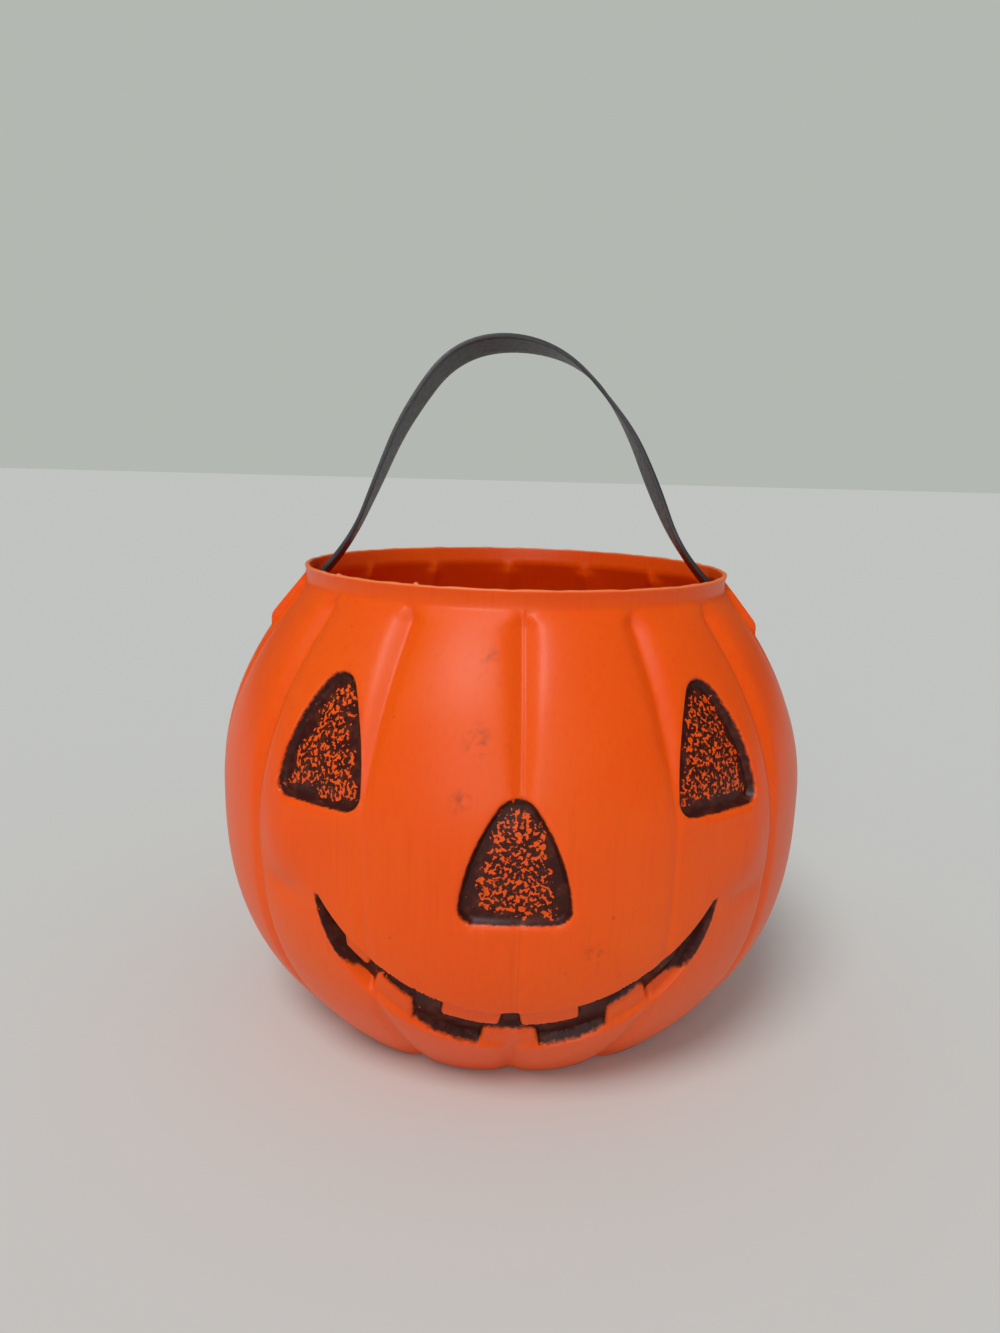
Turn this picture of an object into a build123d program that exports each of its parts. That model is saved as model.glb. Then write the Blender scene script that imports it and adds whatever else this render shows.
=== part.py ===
from build123d import *
import math
import os

# A candy pail in the shape of a carved pumpkin: a thin blow-moulded shell and a strap handle.
# The pail stands on its foot at z = 0, its axis is Z, and the face looks along -Y.
# All sizes are in millimetres and all angles in degrees.

# Shell: overall sizes
WALL = 1.6
BODY_RADIUS = 107.0
BELLY_HEIGHT = 90.0
FOOT_RADIUS = 68.0
FOOT_CURVE = 2.8
SHOULDER_CURVE = 2.0
RIM_HEIGHT = 165.0
RIM_RADIUS = 77.0
RIM_WALL = 2.8
COLLAR_HEIGHT = 6.5
PUSH_UP_RADIUS = 44.0
PUSH_UP_TOP_RADIUS = 36.0
PUSH_UP_DEPTH = 4.0

# Lobes: raised panels between rounded grooves, which fade out below the collar
LOBE_COUNT = 14
PANEL_CROWN = 0.25
GROOVE_TOP = 4.2
GROOVE_BELLY = 2.0
GROOVE_FOOT = 3.6
GROOVE_FLOOR_WIDTH = 2.4
GROOVE_SIDE_ANGLE = 45.0
LOBE_TOP_LENGTH = 9.0
LOBE_TOP_GROOVE = 0.35
LEVEL_SHARES = (0.0, 0.03, 0.08, 0.16, 0.28, 0.42, 0.57, 0.72, 0.85, 0.943, 0.975, 1.0)

# Face: eyes and nose are rounded triangles, and the mouth is a crescent with square teeth
EYE_AZIMUTH = 35.0
EYE_BASE_HEIGHT = 100.4
EYE_HALF_WIDTH = 17.4
EYE_RISE = 43.0
NOSE_BASE_HEIGHT = 72.7
NOSE_HALF_WIDTH = 17.0
NOSE_RISE = 40.7
TRIANGLE_BOW = 3.2
TRIANGLE_TOP_RADIUS = 6.5
TRIANGLE_FOOT_RADIUS = 4.0
RECESS_DEPTH = 3.0
MOUTH_HALF_WIDTH = 61.4
MOUTH_CORNER_HEIGHT = 72.7
UPPER_LIP_HEIGHT = 40.8
LOWER_LIP_HEIGHT = 25.2
MOUTH_DEPTH = 4.0

# Teeth: flat blocks half way up the mouth's recess, which follow the lip that they grow from
TOOTH_DEPTH = 1.7
INNER_TOOTH_START = 3.0
INNER_TOOTH_WIDTH = 20.0
INNER_TOOTH_LENGTH = 6.6
OUTER_TOOTH_START = 45.0
OUTER_TOOTH_WIDTH = 8.5
OUTER_TOOTH_LENGTH = 3.0
CENTRE_TOOTH_WIDTH = 16.0
LOWER_TOOTH_LENGTH = 6.2
SIDE_TOOTH_START = 31.5
SIDE_TOOTH_WIDTH = 11.5

# Ears: hollow wedges on the side lobes, each with an upright end that holds a handle stud
EAR_REACH = 90.6
EAR_WIDTH = 24.0
EAR_CORNER_HEIGHT = 147.6
EAR_FOOT_DROP = 9.0
EAR_POCKET_DROP = 2.4
EAR_EDGE_RADIUS = 1.2

# Handle: a flat strap bent to a loop, with narrowed tabs and plain studs at its ends
STRAP_WIDTH = 16.0
STRAP_THICKNESS = 1.5
STRAP_RISE = 107.0
STRAP_CROWN_RADIUS = 40.0
STRAP_CROWN_TURN = 50.0
STRAP_SHOULDER_RADIUS = 107.0
STRAP_LEG_ANGLE = 22.0
STRAP_FLARE_ANGLE = 52.0
STRAP_FLARE_RADIUS = 40.0
STRAP_LEAN = 16.0
TAB_WIDTH = 8.0
TAB_BEND_RADIUS = 6.0
TAB_BEND_HEIGHT = 1.0
TAPER_START = 6.0
TAPER_END = 20.0
STUD_HEIGHT = 143.4
STUD_DIAMETER = 3.4
STUD_CLEARANCE = 0.2
STUD_SHOULDER_DIAMETER = 5.0
STUD_SHOULDER_LENGTH = 3.4
STUD_SHOULDER_GAP = 0.4
STUD_END_INSET = 0.3

# Length that a cutting tool runs past what it cuts
OVERRUN = 30.0


def at(azimuth, radius):
    """A point at an azimuth from the face's direction and a radius from the axis."""
    turn = math.radians(azimuth)
    return Vector(radius * math.sin(turn), -radius * math.cos(turn))


def collar_base():
    return RIM_HEIGHT - COLLAR_HEIGHT


def crest_radius(height):
    """Radius of the lobes' crests: a flattened bowl below the belly and a round shoulder above it."""
    if height < BELLY_HEIGHT:
        share = (BELLY_HEIGHT - height) / BELLY_HEIGHT
        return BODY_RADIUS - (BODY_RADIUS - FOOT_RADIUS) * share**FOOT_CURVE
    share = (height - BELLY_HEIGHT) / (collar_base() - BELLY_HEIGHT)
    return BODY_RADIUS - (BODY_RADIUS - RIM_RADIUS) * share**SHOULDER_CURVE


def groove_depth(height):
    """Depth of the grooves: shallow at the belly, deep at both ends, closed below the collar."""
    fade_start = collar_base() - LOBE_TOP_LENGTH
    if height < BELLY_HEIGHT:
        share = (BELLY_HEIGHT - height) / BELLY_HEIGHT
        return GROOVE_BELLY + (GROOVE_FOOT - GROOVE_BELLY) * share**2
    share = min(1.0, (height - BELLY_HEIGHT) / (fade_start - BELLY_HEIGHT))
    depth = GROOVE_BELLY + (GROOVE_TOP - GROOVE_BELLY) * share
    fade = max(0.0, height - fade_start) / LOBE_TOP_LENGTH
    return max(LOBE_TOP_GROOVE, depth * math.sqrt(max(0.0, 1 - fade**2)))


def lobed_wire(radius, depth, floor_width, height):
    """A closed ring of crowned panels with straight-sided grooves between them."""
    half_turn = 180 / LOBE_COUNT
    floor_half = floor_width / 2
    edge_half = floor_half + depth / math.tan(math.radians(GROOVE_SIDE_ANGLE))
    edge_radius = radius - PANEL_CROWN * depth
    edge_turn = math.degrees(math.asin(edge_half / edge_radius))
    crest = at(half_turn, radius)

    def placed(point, lobe):
        flat = point.rotate(Axis.Z, 2 * half_turn * lobe)
        return Vector(flat.X, flat.Y, height)

    edges = []
    for lobe in range(LOBE_COUNT):
        floor_left = placed(Vector(-floor_half, depth - radius), lobe)
        floor_right = placed(Vector(floor_half, depth - radius), lobe)
        panel_start = placed(at(edge_turn, edge_radius), lobe)
        panel_stop = placed(at(-edge_turn, edge_radius), lobe + 1)
        next_floor = placed(Vector(-floor_half, depth - radius), lobe + 1)
        edges.append(Line(floor_left, floor_right))
        edges.append(Line(floor_right, panel_start))
        edges.append(ThreePointArc(panel_start, placed(crest, lobe), panel_stop))
        edges.append(Line(panel_stop, next_floor))
    return Wire(edges)


def wall_inset(height):
    """Radial distance that gives the wall its thickness square to the sloping skin."""
    step = 0.5
    low = max(0.0, height - step)
    slope = (crest_radius(height + step) - crest_radius(low)) / (height + step - low)
    return WALL * math.sqrt(1 + slope**2)


def lobed_solid(inside):
    """The lobed body up to the collar, as its outer form or as the hollow inside it."""
    bend = math.radians(GROOVE_SIDE_ANGLE)
    inner_floor = GROOVE_FLOOR_WIDTH + 2 * WALL * math.tan(bend / 2)
    sections = []
    for share in LEVEL_SHARES:
        height = share * collar_base()
        if inside:
            height = max(height, WALL)
            radius = crest_radius(height) - wall_inset(height)
            wire = lobed_wire(radius, groove_depth(height), inner_floor, height)
        else:
            wire = lobed_wire(crest_radius(height), groove_depth(height), GROOVE_FLOOR_WIDTH, height)
        sections.append(make_face(wire))
    return loft(sections)


def face_plane(azimuth):
    """An upright plane through the axis whose normal looks out at an azimuth and whose Y is up."""
    outward = at(azimuth, 1.0)
    along = at(azimuth + 90, 1.0)
    return Plane(origin=(0, 0, 0), x_dir=along, z_dir=outward)


def ray_through(sketch, azimuth):
    """A block that carries a sketch on the face straight out through the skin."""
    block = extrude(sketch, BODY_RADIUS + OVERRUN)
    return face_plane(azimuth) * block


def skin_below(depth):
    """The solid of revolution that lies a depth under the crests, square to them."""
    foot = LEVEL_SHARES[1] * collar_base()
    points = []
    for share in LEVEL_SHARES[1:]:
        height = share * collar_base()
        inset = wall_inset(height) * depth / WALL
        points.append((crest_radius(height) - inset, height))
    skin = Spline(*points)
    closing = Polyline(points[-1], (0, collar_base()), (0, foot), points[0])
    profile = make_face(Curve() + [skin, closing])
    return revolve(Plane.XZ * profile, Axis.Z)


def rounded_triangle(half_width, base, rise, grow):
    """A triangle with bowed sides and rounded corners, standing on its base, grown all round."""
    tilt = math.atan2(half_width, rise)
    foot = base - grow
    reach = half_width + grow / math.cos(tilt) + grow * math.tan(tilt)
    left = Vector(-reach, foot)
    right = Vector(reach, foot)
    top = Vector(0, base + rise + grow / math.sin(tilt))
    bow = Vector(math.cos(tilt), math.sin(tilt)) * TRIANGLE_BOW
    right_side = ThreePointArc(right, (right + top) * 0.5 + bow, top)
    left_side = ThreePointArc(top, (left + top) * 0.5 + Vector(-bow.X, bow.Y), left)
    face = make_face(Curve() + [Line(left, right), right_side, left_side])
    corners = face.vertices().sort_by(Axis.Y)
    face = fillet(corners[-1], TRIANGLE_TOP_RADIUS + grow)
    corners = face.vertices().sort_by(Axis.Y)
    return fillet(corners[:2], TRIANGLE_FOOT_RADIUS + grow)


def lip_radius(lip_height):
    """Radius of the circle through both mouth corners and the middle of a lip."""
    sag = MOUTH_CORNER_HEIGHT - lip_height
    return (MOUTH_HALF_WIDTH**2 + sag**2) / (2 * sag)


def lip_disc(lip_height, grow):
    """The disc whose lower edge is a lip, grown or shrunk."""
    radius = lip_radius(lip_height)
    return Pos(0, lip_height + radius) * Circle(radius + grow)


def mouth_sketch(grow):
    """The crescent between the lips, grown all round."""
    return lip_disc(LOWER_LIP_HEIGHT, grow) - lip_disc(UPPER_LIP_HEIGHT, -grow)


def strip(start, width):
    """An upright strip of the face from a start to start plus width."""
    tall = 2 * RIM_HEIGHT
    return Pos(start + width / 2, 0) * Rectangle(width, tall)


def teeth_sketches():
    """Where teeth stand, run on past the lips that they grow from."""
    inner_row = lip_disc(UPPER_LIP_HEIGHT, INNER_TOOTH_LENGTH)
    outer_row = lip_disc(UPPER_LIP_HEIGHT, OUTER_TOOTH_LENGTH)
    lower_gap = lip_disc(LOWER_LIP_HEIGHT, -LOWER_TOOTH_LENGTH)
    right_teeth = [
        inner_row & strip(INNER_TOOTH_START, INNER_TOOTH_WIDTH),
        outer_row & strip(OUTER_TOOTH_START, OUTER_TOOTH_WIDTH),
        strip(SIDE_TOOTH_START, SIDE_TOOTH_WIDTH) - lower_gap,
    ]
    left_teeth = [mirror(tooth, Plane.YZ) for tooth in right_teeth]
    centre_tooth = strip(-CENTRE_TOOTH_WIDTH / 2, CENTRE_TOOTH_WIDTH) - lower_gap
    return right_teeth + left_teeth + [centre_tooth]


def mouth_cut():
    """What the mouth takes out of the skin, with the teeth left standing."""
    cut = ray_through(mouth_sketch(0), 0) - skin_below(MOUTH_DEPTH)
    tooth_skin = skin_below(TOOTH_DEPTH)
    for tooth in teeth_sketches():
        cut -= ray_through(tooth, 0) & tooth_skin
    return cut


def ear_wedges(section, half_width):
    """A section in the XZ plane as rounded wedges on both sides."""
    wedge = extrude(Plane.XZ * make_face(section), half_width, both=True)
    end_edges = wedge.edges().group_by(Axis.X)[-1].sort_by(Axis.Z)
    wedge = fillet(end_edges[1:], EAR_EDGE_RADIUS)
    return [wedge, mirror(wedge, Plane.YZ)]


def ears():
    """The wedges outside: a ramp down from the collar to an upright end."""
    start = RIM_RADIUS - RIM_WALL / 2
    slope = (collar_base() - EAR_CORNER_HEIGHT) / (EAR_REACH - RIM_RADIUS)
    top = collar_base() + slope * (RIM_RADIUS - start)
    foot = EAR_CORNER_HEIGHT - EAR_FOOT_DROP
    corner = (EAR_REACH, EAR_CORNER_HEIGHT)
    section = Polyline((start, top), corner, (EAR_REACH, foot), (start, foot), close=True)
    return ear_wedges(section, EAR_WIDTH / 2)


def ear_pockets():
    """The hollows inside the ears, one wall under their ramps and ends."""
    start = RIM_RADIUS - RIM_WALL - OVERRUN / 2
    slope = (collar_base() - EAR_CORNER_HEIGHT) / (EAR_REACH - RIM_RADIUS)
    drop = WALL * math.hypot(1, slope)
    reach = EAR_REACH - WALL
    corner = collar_base() - drop - slope * (reach - RIM_RADIUS)
    top = collar_base() - EAR_POCKET_DROP
    ramp_start = RIM_RADIUS + (collar_base() - drop - top) / slope
    foot = EAR_CORNER_HEIGHT - EAR_FOOT_DROP
    section = Polyline(
        (start, top), (ramp_start, top), (reach, corner), (reach, foot), (start, foot), close=True
    )
    return ear_wedges(section, EAR_WIDTH / 2 - WALL)


def push_up():
    """The shallow dish that keeps the middle of the foot off the table, run on below the foot."""
    flare = PUSH_UP_RADIUS - PUSH_UP_TOP_RADIUS
    return Cone(PUSH_UP_RADIUS + flare, PUSH_UP_TOP_RADIUS, 2 * PUSH_UP_DEPTH)


def upright_cylinder(radius, low, high):
    return Pos(0, 0, (low + high) / 2) * Cylinder(radius, high - low)


def eyes_and_nose(grow):
    """Each triangle of the face as its sketch and azimuth."""
    eye = rounded_triangle(EYE_HALF_WIDTH, EYE_BASE_HEIGHT, EYE_RISE, grow)
    nose = rounded_triangle(NOSE_HALF_WIDTH, NOSE_BASE_HEIGHT, NOSE_RISE, grow)
    return [(eye, EYE_AZIMUTH), (eye, -EYE_AZIMUTH), (nose, 0)]


def pail_outside():
    """The outer form: lobes, collar, ears, sunk face and push-up."""
    body = lobed_solid(False)
    body += upright_cylinder(RIM_RADIUS, collar_base() - WALL, RIM_HEIGHT)
    body += ears()
    for sketch, azimuth in eyes_and_nose(0):
        body -= ray_through(sketch, azimuth) - skin_below(RECESS_DEPTH)
    body -= mouth_cut()
    return body - push_up()


def pail_inside():
    """The hollow: lobes, ear pockets and mouth of the pail, less the backs of the face's recesses."""
    hollow = lobed_solid(True)
    hollow += upright_cylinder(RIM_RADIUS - RIM_WALL, collar_base() - 2 * WALL, RIM_HEIGHT + OVERRUN)
    hollow += ear_pockets()
    for sketch, azimuth in eyes_and_nose(WALL):
        hollow -= ray_through(sketch, azimuth) - skin_below(RECESS_DEPTH + WALL)
    hollow -= ray_through(mouth_sketch(WALL), 0) - skin_below(MOUTH_DEPTH + WALL)
    hollow -= Pos(0, 0, WALL) * push_up()
    return hollow + stud_holes()


def stud_holes():
    """The round holes through both ear ends, along X."""
    length = 2 * (EAR_REACH + OVERRUN)
    radius = STUD_DIAMETER / 2 + STUD_CLEARANCE
    return Pos(0, 0, STUD_HEIGHT) * Rot(0, 90, 0) * Cylinder(radius, length)


def pail_shell():
    return pail_outside() - pail_inside()


def strap_path():
    """The strap's right half from the crown to the tab's foot, in the loop's own plane."""
    crown = math.radians(STRAP_CROWN_TURN)
    leg = math.radians(STRAP_LEG_ANGLE)
    flare = math.radians(STRAP_FLARE_ANGLE)
    top = Vector(0, STRAP_RISE)
    crown_centre = top - Vector(0, STRAP_CROWN_RADIUS)
    crown_middle = crown_centre + Vector(math.sin(crown / 2), math.cos(crown / 2)) * STRAP_CROWN_RADIUS
    crown_end = crown_centre + Vector(math.sin(crown), math.cos(crown)) * STRAP_CROWN_RADIUS
    shoulder_centre = crown_end - Vector(math.sin(crown), math.cos(crown)) * STRAP_SHOULDER_RADIUS

    def on_shoulder(turn):
        return shoulder_centre + Vector(math.sin(turn), math.cos(turn)) * STRAP_SHOULDER_RADIUS

    shoulder_end_turn = math.pi / 2 - leg
    shoulder_end = on_shoulder(shoulder_end_turn)

    def on_flare(turn):
        across = math.cos(leg) - math.cos(turn)
        down = math.sin(turn) - math.sin(leg)
        return Vector(across, -down) * STRAP_FLARE_RADIUS

    def on_bend(turn):
        across = math.cos(turn) - math.cos(flare)
        down = math.sin(flare) - math.sin(turn)
        return Vector(across, -down) * TAB_BEND_RADIUS

    # The two straight runs are as long as the tab's place asks for.
    leg_way = Vector(math.sin(leg), -math.cos(leg))
    flare_way = Vector(math.sin(flare), -math.cos(flare))
    rest = Vector(tab_middle(), TAB_BEND_HEIGHT) - shoulder_end - on_flare(flare) - on_bend(0)
    cross = leg_way.X * flare_way.Y - leg_way.Y * flare_way.X
    leg_length = (rest.X * flare_way.Y - rest.Y * flare_way.X) / cross
    flare_length = (leg_way.X * rest.Y - leg_way.Y * rest.X) / cross
    leg_end = shoulder_end + leg_way * leg_length
    flare_end = leg_end + on_flare(flare)
    bend_start = flare_end + flare_way * flare_length
    bend_end = bend_start + on_bend(0)
    return [
        ThreePointArc(top, crown_middle, crown_end),
        ThreePointArc(crown_end, on_shoulder((crown + shoulder_end_turn) / 2), shoulder_end),
        Line(shoulder_end, leg_end),
        ThreePointArc(leg_end, leg_end + on_flare((leg + flare) / 2), flare_end),
        Line(flare_end, bend_start),
        ThreePointArc(bend_start, bend_start + on_bend(flare / 2), bend_end),
        Line(bend_end, bend_end - Vector(0, TAB_BEND_HEIGHT + TAB_WIDTH)),
    ]


def tab_middle():
    """Distance of the tab's mid-plane from the pail's axis."""
    inner_face = EAR_REACH - WALL - STUD_SHOULDER_GAP
    return inner_face - STUD_SHOULDER_LENGTH - STRAP_THICKNESS / 2


def strap_loop():
    """The strap in the loop's upright plane, with the stud axis at its origin."""
    band = trace(strap_path(), STRAP_THICKNESS)
    half = extrude(Plane.XZ * band, STRAP_WIDTH / 2, both=True)
    loop = half + mirror(half, Plane.YZ)
    wide = STRAP_WIDTH / 2
    narrow = TAB_WIDTH / 2
    top = STRAP_RISE + STRAP_THICKNESS
    right = [(wide, top), (wide, TAPER_END), (narrow, TAPER_START), (narrow, 0)]
    left = [(-y, z) for y, z in reversed(right)]
    outline = make_face(Polyline(*right, *left, close=True)) + Circle(narrow)
    return loop & extrude(Plane.YZ * outline, EAR_REACH, both=True)


def stud():
    """The right stud: a shoulder inside the ear and a neck that ends just under the ear's outer face."""
    shoulder_end = tab_middle() + STRAP_THICKNESS / 2 + STUD_SHOULDER_LENGTH
    end = EAR_REACH - STUD_END_INSET
    neck = STUD_DIAMETER / 2
    profile = Polyline(
        (tab_middle(), 0),
        (tab_middle(), STUD_SHOULDER_DIAMETER / 2),
        (shoulder_end, STUD_SHOULDER_DIAMETER / 2),
        (shoulder_end, neck),
        (end, neck),
        (end, 0),
        close=True,
    )
    return revolve(Plane.XZ * make_face(profile), Axis.X)


def strap_handle():
    handle = strap_loop() + stud() + mirror(stud(), Plane.YZ)
    return Pos(0, 0, STUD_HEIGHT) * Rot(-STRAP_LEAN, 0, 0) * handle


def write(name, solid):
    os.makedirs("parts", exist_ok=True)
    export_step(solid, f"parts/{name}.step")


write("pail_shell", pail_shell())
write("strap_handle", strap_handle())
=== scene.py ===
"""Looks of a pumpkin candy pail: a worn orange blow-moulded shell and a black strap handle."""

import functools
import math
from types import SimpleNamespace

import bpy
import numpy as np
from bpy.props import FloatProperty, FloatVectorProperty, IntProperty
from mathutils import Matrix, Vector
from mathutils.geometry import delaunay_2d_cdt


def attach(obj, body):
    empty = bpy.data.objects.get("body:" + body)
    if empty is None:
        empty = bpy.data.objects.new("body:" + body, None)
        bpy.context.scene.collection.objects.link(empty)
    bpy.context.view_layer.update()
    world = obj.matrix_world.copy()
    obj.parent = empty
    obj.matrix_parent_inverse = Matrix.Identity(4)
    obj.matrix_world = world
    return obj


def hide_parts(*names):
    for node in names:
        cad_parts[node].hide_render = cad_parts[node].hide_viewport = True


bl_info = {
    "name": "Pumpkin pail",
    "version": (1, 0, 0),
    "blender": (4, 5, 0),
    "location": "View3D > Sidebar > Pail",
    "description": "Builds a pumpkin candy pail with a sunken face and a strap handle",
    "category": "Object",
}

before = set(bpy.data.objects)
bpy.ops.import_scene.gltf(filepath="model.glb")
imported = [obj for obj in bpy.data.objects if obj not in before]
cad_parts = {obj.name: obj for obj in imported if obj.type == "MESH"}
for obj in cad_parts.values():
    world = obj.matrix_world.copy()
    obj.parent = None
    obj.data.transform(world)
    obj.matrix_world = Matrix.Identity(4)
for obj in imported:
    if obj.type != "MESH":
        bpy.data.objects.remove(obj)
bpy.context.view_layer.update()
MM = 0.001

# A distance that stands for nowhere near, in millimetres
FAR = 99.0

# Distances to the face's edges that the shell's mesh carries for its paint
PAINT_LAYERS = ("triangle_distance", "mouth_distance")


def srgb(code):
    """Linear colour of an sRGB hex code."""
    channels = [int(code[i : i + 2], 16) / 255 for i in (0, 2, 4)]
    linear = [c / 12.92 if c <= 0.04045 else ((c + 0.055) / 1.055) ** 2.4 for c in channels]
    return (*linear, 1.0)


def length(default, description):
    """A length property, in metres."""
    return FloatProperty(
        description=description, default=default, unit="LENGTH", subtype="DISTANCE", precision=4
    )


def angle(default, description):
    """An angle property, given in degrees."""
    turn = math.radians(default)
    return FloatProperty(description=description, default=turn, subtype="ANGLE")


def number(default, description):
    """A plain number property."""
    return FloatProperty(description=description, default=default)


def colour(code, description):
    """A colour property, given as an sRGB hex code."""
    return FloatVectorProperty(
        description=description, default=srgb(code), size=4, min=0, max=1, subtype="COLOR"
    )


class PailShellSettings(bpy.types.PropertyGroup):
    """Sizes of the lobed shell."""

    body_radius: length(0.107, "Radius over the crests at the belly")
    belly_height: length(0.09, "Height of the widest place")
    foot_radius: length(0.068, "Radius over the crests at the foot")
    foot_curve: number(2.8, "Power of the curve from belly to foot")
    shoulder_curve: number(2.0, "Power of the curve from belly to collar")
    rim_height: length(0.165, "Height of the rim's top edge")
    rim_radius: length(0.077, "Outer radius of the rim")
    collar_height: length(0.0065, "Height of the plain collar above the lobes")
    collar_neck: length(0.0006, "How far the collar stands in from the rim")
    wall: length(0.0016, "Thickness of the shell")
    lobe_count: IntProperty(description="Number of lobes round the pail", default=14)
    panel_crown: number(0.25, "Share of the groove depth that each lobe bulges")
    foot_crown: number(0.3, "Extra share that each lobe bulges at the foot")
    panel_corner: length(0.0025, "Rounding of the lobes' upper corners")
    groove_top: length(0.0042, "Depth of the grooves near the collar")
    groove_belly: length(0.002, "Depth of the grooves at the belly")
    groove_foot: length(0.0035, "Depth of the grooves at the foot")
    groove_spread: number(1.1, "Half width of a groove for each part of its depth")
    groove_least: length(0.0009, "Half width of a groove that has no depth")
    groove_floor: length(0.0007, "Rounding of a groove's floor")
    groove_edge: number(0.28, "Softness of a groove's edges, as a share of its half width")
    muzzle_fade: number(0.6, "Share of the groove depth that is lost on the muzzle")
    parting_line: length(0.00025, "Height of the mould's parting line, front and back")
    cheek_rise: length(0.0018, "Swell of the cheeks beside the mouth's corners")
    crease_depth: length(0.0013, "Depth of the creases under the cheeks")
    push_up_radius: length(0.044, "Radius of the dish under the foot")
    push_up_top: length(0.036, "Radius of the dish's flat top")
    push_up_depth: length(0.004, "Depth of the dish under the foot")
    ear_reach: length(0.0886, "Distance of the ears' upright ends from the axis")
    ear_width: length(0.024, "Width of the ears")
    ear_corner: length(0.1464, "Height where the ear's ramp turns down")
    ear_top: length(0.1605, "Height where the ear's ramp leaves the collar")
    stud_height: length(0.1434, "Height of the holes for the handle's studs")
    stud_hole: length(0.0019, "Radius of the holes for the handle's studs")


class PailFaceSettings(bpy.types.PropertyGroup):
    """Sizes of the sunken face."""

    eye_azimuth: angle(35.9, "Turn of each eye from the middle of the face")
    eye_base: length(0.1004, "Height of the eyes' lower edge")
    eye_half_width: length(0.017, "Half the width of an eye at its base")
    eye_rise: length(0.0423, "Height of an eye to its unrounded tip")
    nose_base: length(0.0716, "Height of the nose's lower edge")
    nose_half_width: length(0.0169, "Half the width of the nose at its base")
    nose_rise: length(0.0414, "Height of the nose to its unrounded tip")
    middle_shift: length(-0.0012, "How far nose and teeth sit to the right of the middle")
    bow: length(0.0041, "Outward bow of the triangles' sides")
    corner: length(0.005, "Rounding of the triangles' lower corners")
    tip: length(0.009, "Rounding of the triangles' tips")
    depth: length(0.003, "Depth of the eyes and the nose")
    mouth_half_width: length(0.0614, "Half the width between the mouth's corners")
    mouth_corner: length(0.0727, "Height of the mouth's corners")
    upper_lip: length(0.0393, "Height of the middle of the upper lip")
    lower_lip: length(0.022, "Height of the middle of the lower lip")
    paint_raise: length(0.002, "How far the paint stops above the lip under the side teeth")
    paint_spill: length(0.001, "How far the paint passes the lip near the mouth's corners")
    mouth_depth: length(0.004, "Depth of the mouth's painted floor")
    tooth_depth: length(0.0017, "Depth of the teeth's flat fronts")
    wall_run: length(0.0017, "Sideways run of the recess walls")


class PailStrapSettings(bpy.types.PropertyGroup):
    """Sizes of the strap handle."""

    width: length(0.016, "Width of the strap")
    thickness: length(0.0015, "Thickness of the strap")
    edge: length(0.0003, "Bevel along the strap's edges")
    rise: length(0.107, "Height of the loop's crown above the studs")
    crown_radius: length(0.04, "Radius of the loop's crown")
    crown_turn: angle(50, "Half turn of the crown's arc")
    shoulder_radius: length(0.107, "Radius of the arc beside the crown")
    leg_angle: angle(22, "Lean of the straight legs from the loop's upright")
    flare_angle: angle(40, "Lean of the legs where they enter the pail")
    flare_radius: length(0.08, "Radius of the bend between leg and flare")
    bend_radius: length(0.004, "Radius of the bend above the tab")
    bend_height: length(0.001, "Height of the tab's bend above the studs")
    tab_middle: length(0.08445, "Distance of the tabs' mid-plane from the axis")
    tab_width: length(0.008, "Width of the narrowed tabs")
    taper_start: length(0.006, "Height where the tab starts to widen")
    taper_end: length(0.03, "Height where the strap has its full width")
    lean: angle(16, "Backward lean of the loop at rest")
    stud_radius: length(0.0017, "Radius of the stud's neck")
    stud_end: length(0.0883, "Distance of the stud's end from the pail's axis")
    stud_shoulder: length(0.0023, "Radius of the stud's inner shoulder")
    shoulder_end: length(0.0861, "Distance of the shoulder's end from the axis")
    crown_shift: length(-0.0032, "How far the loop's crown sags to the right")
    crown_lift: length(0.001, "How far the loop's crown is pulled up")
    twist: number(1.0, "Share of the twist that use has left in the strap")


class PailFinishSettings(bpy.types.PropertyGroup):
    """Colours of the pail."""

    orange: colour("EA5200", "Main colour of the shell")
    orange_light: colour("F06006", "Paler clouds and flow marks in the shell")
    orange_deep: colour("D84200", "Darker flow marks in the shell")
    # The rim's top edge is made paler, partly for its trimmed cut and partly as a painted highlight where
    # the top catches the light
    rim_cut_and_highlight: colour("F7945E", "Trimmed edge of the rim")
    grime: colour("8A3A18", "Smudges on the shell")
    paint: colour("3A140E", "Paint in the face's recesses")
    paint_worn: colour("56261A", "Thinner places of the paint")
    strap: colour("26252A", "Strap handle")


class PailStageSettings(bpy.types.PropertyGroup):
    """The camera and the room."""

    camera_x: length(-0.01365, "Camera's place along X")
    camera_y: length(-0.3722, "Camera's place along Y")
    camera_z: length(0.2016, "Camera's height")
    heading: angle(1.36, "Camera's turn to the right of +Y")
    pitch: angle(11.46, "Camera's dip below the horizon")
    roll: angle(1.492, "Camera's roll")
    lens: number(27.0, "Focal length in millimetres on a 36 mm sensor")
    floor: colour("D2D4D1", "Pale floor")
    backdrop: colour("B4B8B2", "Plain background")


# Skin of the shell, in millimetres


def in_mm(settings):
    """A plain copy of a settings group with lengths in millimetres and angles in radians."""
    sizes = SimpleNamespace()
    for name, prop in settings.bl_rna.properties.items():
        if name in ("rna_type", "name"):
            continue
        value = getattr(settings, name)
        if prop.type == "FLOAT" and prop.unit == "LENGTH":
            value = value / MM
        setattr(sizes, name, value)
    return sizes


def ramp(value, start, end):
    """Smooth step from 0 at start to 1 at end."""
    share = np.clip((value - start) / (end - start), 0, 1)
    return share * share * (3 - 2 * share)


def lesser(a, b, soft):
    """Smaller of two values, with a soft corner where they cross."""
    return (a + b - np.sqrt((a - b) ** 2 + soft**2)) / 2


def bell(value, middle, reach):
    """Bell curve of height 1 over a middle."""
    return np.exp(-(((value - middle) / reach) ** 2))


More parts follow.
